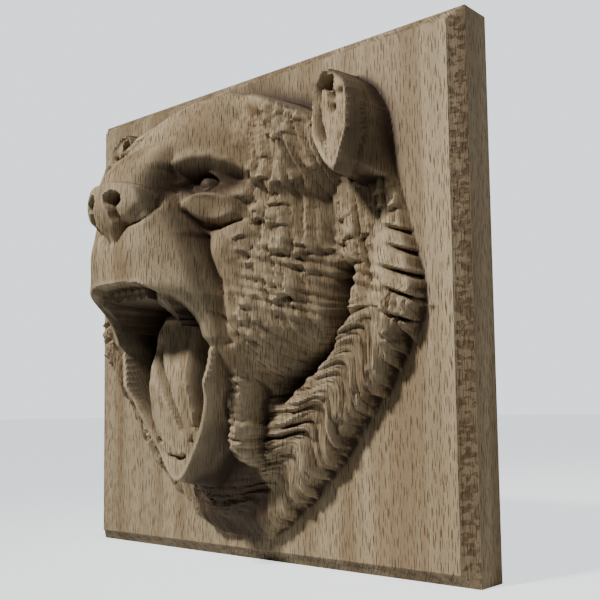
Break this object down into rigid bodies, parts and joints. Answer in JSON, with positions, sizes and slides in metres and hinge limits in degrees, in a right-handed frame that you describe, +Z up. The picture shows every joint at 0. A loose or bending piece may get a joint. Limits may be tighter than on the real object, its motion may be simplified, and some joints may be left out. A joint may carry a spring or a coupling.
{
  "type": "carved bear head plaque",
  "caption": "Wall plaque: a roaring bear's head with open mouth, fangs and shaggy mane, carved in relief in one with a square board with chamfered edges.",
  "frame": {"origin": "centre of the flat back face, where the plaque rests on the wall", "axes": "+Z up, +X to the viewer's right, the carving faces -Y and the flat back +Y"},
  "size_m": [0.15, 0.0718, 0.15],
  "materials": {
    "beech": "unfinished beech, fine milled surface"
  },
  "bodies": {
    "root": {"carved_bear_plaque": "beech"}
  },
  "joints": []
}
